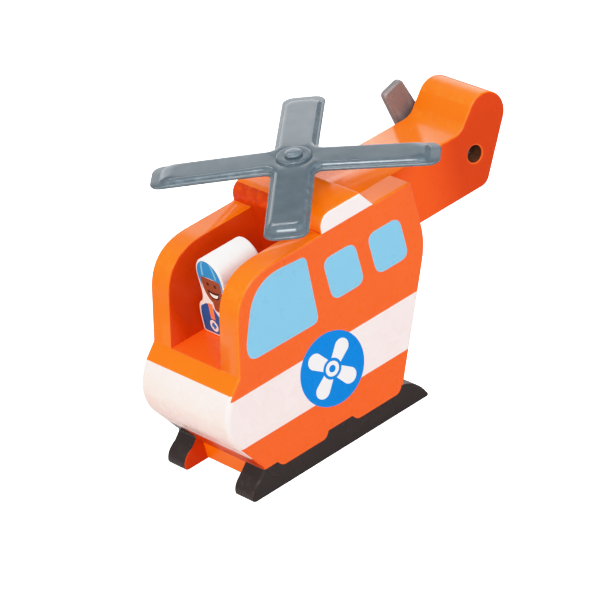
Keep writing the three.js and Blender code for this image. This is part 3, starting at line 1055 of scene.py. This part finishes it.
def pilot_print():
    """Loops and inks of the print on the front face, each over the ones before it."""
    vest = draw([
        (-12.9, 1), (12.9, 1), (13.4, 1.2, 13.2, 3), (12.9, 7), (12.4, 11.6, 10.8, 12.4), (7.4, 14.2),
        (-7.4, 14.2), (-10.8, 12.4), (-12.4, 11.6, -12.9, 7), (-13.2, 3), (-13.4, 1.2, -12.9, 1),
    ])
    collar = draw([(-4.4, 14.6), (0, 8.6), (4.4, 14.6)])
    strap = draw([(-6.2, 14.6), (-6.9, 7.4), (-4.2, 7.4), (-3.2, 14.6)])
    badge_centre = Vector((-6.2, 4.4))
    badge = circle(badge_centre, 2.5, 40)
    half, reach = 0.7, 1.5
    arm = [Vector((-half, -reach)), Vector((half, -reach)), Vector((half, -half))]
    badge_mark = [badge_centre + quarter_turns(turn) @ point for turn in range(4) for point in arm]
    neck = draw([(-2.2, 12.6), (0, 11.4, 2.2, 12.6), (2.4, 17), (-2.4, 17)])
    face = draw([(-6.2, 26.6), (-6.6, 18.4, -2.6, 16.0), (0, 14.6, 2.6, 16.0), (6.6, 18.4, 6.2, 26.6)])
    cap = draw([
        (-6.1, 26.3), (0, 27.3, 6.1, 26.3), (6.4, 22.5), (6.2, 20.6), (7.3, 22.6, 7.4, 26.0),
        (0, 26.9, 7.35, 0, 180), (-7.3, 22.6, -6.2, 20.6), (-6.4, 22.5),
    ])
    stripe = draw([
        (-4.6, 27.2), (-3.6, 27.3), (-3.4, 31, -2.0, 33.6), (-2.9, 33.3), (-4.6, 31, -4.6, 27.2),
    ])
    eye = circle((-2.3, 23.9), 0.75, 20)
    mouth = draw([(-3.8, 21.3), (0, 20.2, 3.8, 21.3), (3.4, 17.7, 0, 17.7), (-3.4, 17.7, -3.8, 21.3)])
    teeth = draw([(-2.8, 20.2), (0, 19.4, 2.8, 20.2), (2.2, 18.3, 0, 18.3), (-2.2, 18.3, -2.8, 20.2)])
    return [
        (vest, VEST_BLUE), (collar, PILOT_WHITE), (strap, STRAP_ORANGE), (mirrored(strap), STRAP_ORANGE),
        (badge, TEETH_WHITE), (badge_mark, ROUNDEL_INK), (neck, SKIN), (face, SKIN), (cap, CAP_BLUE),
        (stripe, CAP_PALE), (mirrored(stripe), CAP_PALE), (eye, LINE_DARK), (mirrored(eye), LINE_DARK),
        (mouth, LINE_DARK), (teeth, TEETH_WHITE),
    ]


def build_pilot():
    """The doll's outline cut through a thick board, with its print on the front face."""
    printed = pilot_print()
    body = Body(lambda u, v, w: (w, u, v + PILOT_LOW.z))
    rounded_slab(body, draw(PILOT_MOVES), PILOT_LOW.x, PILOT_HIGH.x, PILOT_EDGE, PILOT_EDGE,
                 high_lines=[loop for loop, _ in printed])
    body.weld()
    paints = [PILOT_WHITE, *dict.fromkeys(colour for _, colour in printed if colour != PILOT_WHITE)]
    for face in body.bm.faces:
        middle = face.calc_center_median()
        if face.normal.x < 0.9 or middle.x < PILOT_HIGH.x - 0.01:
            continue
        point = Vector((middle.y, middle.z - PILOT_LOW.z))
        for loop, colour in printed:
            if inside(point, loop):
                face.material_index = paints.index(colour)
    pilot = body.object("pilot_figure_printed", paints)
    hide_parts("pilot_figure")
    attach(pilot, "pilot")


# ---- Small CAD pieces that stay ----------------------------------------------------------------------
def dress(node, material):
    """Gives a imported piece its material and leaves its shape."""
    piece = frame["nodes"][node]
    piece.data.materials.clear()
    piece.data.materials.append(material)


def dress_small_pieces():
    for side in ("port", "starboard"):
        for end in ("front", "rear"):
            dress(f"{side}_dowel_{end}", BEECH)
    for node in ("mast_washer", "tail_thrust_washer"):
        dress(node, NYLON)
    for node in ("tail_screw", "tail_washer"):
        dress(node, STEEL)


# ---- Stage, light and camera -------------------------------------------------------------------------
def build_stage():
    """A pale floor. It adds light of its own only for the camera, so that its shadows stay soft."""
    mesh = bpy.data.meshes.new("floor")
    half = 3.0
    corners = [(-half, -half, 0), (half, -half, 0), (half, half, 0), (-half, half, 0)]
    mesh.from_pydata(corners, [], [(0, 1, 2, 3)])
    floor = bpy.data.objects.new("floor", mesh)
    floor.location.z = CAD_BOX[0].z - 0.0002
    bpy.context.scene.collection.objects.link(floor)
    shader = Shader("pale_floor")
    tint = shader.spread(shader.noise(120, 3), 0.3, 0.7, 0, 1)
    shader.colour(shader.mix(tint, (0.58, 0.58, 0.58, 1), (0.61, 0.61, 0.61, 1)))
    seen = shader.add("ShaderNodeLightPath").outputs["Is Camera Ray"]
    shader.link(shader.times(seen, 1.7), shader.surface.inputs["Emission Strength"])
    shader.set(Roughness=0.8, Specular_IOR_Level=0.0, Emission_Color=(1, 1, 1, 1))
    mesh.materials.append(shader.material)


def soft_light(name, direction, distance, size, level, tint=(1, 1, 1)):
    """A soft box of that width and height. level is how bright it makes a white surface that faces it."""
    lamp = bpy.data.lights.new(name, "AREA")
    lamp.color = tint
    lamp.shape = "RECTANGLE"
    lamp.size, lamp.size_y = size
    lamp.energy = level * (pi * distance) ** 2
    box = bpy.data.objects.new(name, lamp)
    towards = Vector(direction).normalized()
    box.location = CAD_CENTRE + towards * distance
    box.rotation_mode = "QUATERNION"
    box.rotation_quaternion = towards.to_track_quat("Z", "Y")
    bpy.context.scene.collection.objects.link(box)
    return lamp


def build_view_curve():
    """Plain sRGB with a soft shoulder above 0.85, so that white paint keeps its shape in bright light."""
    settings = bpy.context.scene.view_settings
    settings.view_transform = "Standard"
    settings.use_curve_mapping = True
    mapping = settings.curve_mapping
    brightest = 1.6
    mapping.white_level = (brightest,) * 3
    curve = mapping.curves[3]
    for scene_value, shown in ((0.85, 0.85), (1.0, 0.92), (1.25, 0.97)):
        curve.points.new(scene_value / brightest, shown)
    for point in curve.points:
        point.handle_type = "VECTOR"
    mapping.update()


def build_light():
    world = bpy.data.worlds.new("studio")
    world.use_nodes = True
    background = world.node_tree.nodes["Background"]
    background.inputs["Color"].default_value = (1, 1, 1, 1)
    background.inputs["Strength"].default_value = 0.38
    bpy.context.scene.world = world
    soft_light("key", (0.22, 0.12, 0.97), 1.3, (2.6, 2.6), 0.68)
    edge_light = soft_light("edge_light", (0.297, 0.362, 0.877), 1.3, (0.3, 0.7), 0.4)
    edge_light.use_shadow = False  # it is there for the glints, and the wide key light makes the shadows
    soft_light("rear_strip", (-0.317, -0.533, 0.784), 1.5, (0.5, 0.1), 0.07)
    soft_light("port_fill", (-0.12, 0.92, 0.37), 0.5, (0.4, 0.4), 0.4)
    soft_light("nose_fill", (0.99, 0.0, 0.12), 0.6, (0.4, 0.4), 0.42, (1.0, 0.68, 0.5))
    soft_light("backdrop", (-0.45, -0.76, 0.255), 1.8, (1.6, 0.95), 0.24)
    build_view_curve()


def build_camera():
    """Looks from off the port bow, from above, rolled so that the object leans to the left."""
    turn, rise, roll = radians(59.28), radians(27.65), radians(15.48)
    distance, lens = 1.711, 269.9
    aim = CAD_CENTRE + Vector((0.0167, -0.0052, -0.0081))
    towards = Vector((cos(turn) * cos(rise), sin(turn) * cos(rise), sin(rise)))
    camera = bpy.data.objects.new("camera", bpy.data.cameras.new("camera"))
    camera.data.lens = lens
    camera.data.sensor_width = 36
    camera.data.clip_end = 20
    camera.location = aim + towards * distance
    camera.rotation_mode = "QUATERNION"
    level = (-towards).to_track_quat("-Z", "Y")
    camera.rotation_quaternion = Quaternion(-towards, roll) @ level
    bpy.context.scene.collection.objects.link(camera)
    bpy.context.scene.camera = camera


build_side_board(1, "port_side_board")
build_side_board(-1, "starboard_side_board")
build_centre_board()
build_main_rotor()
build_mast_pin()
build_tail_rotor()
build_pilot()
dress_small_pieces()
build_stage()
build_light()
build_camera()
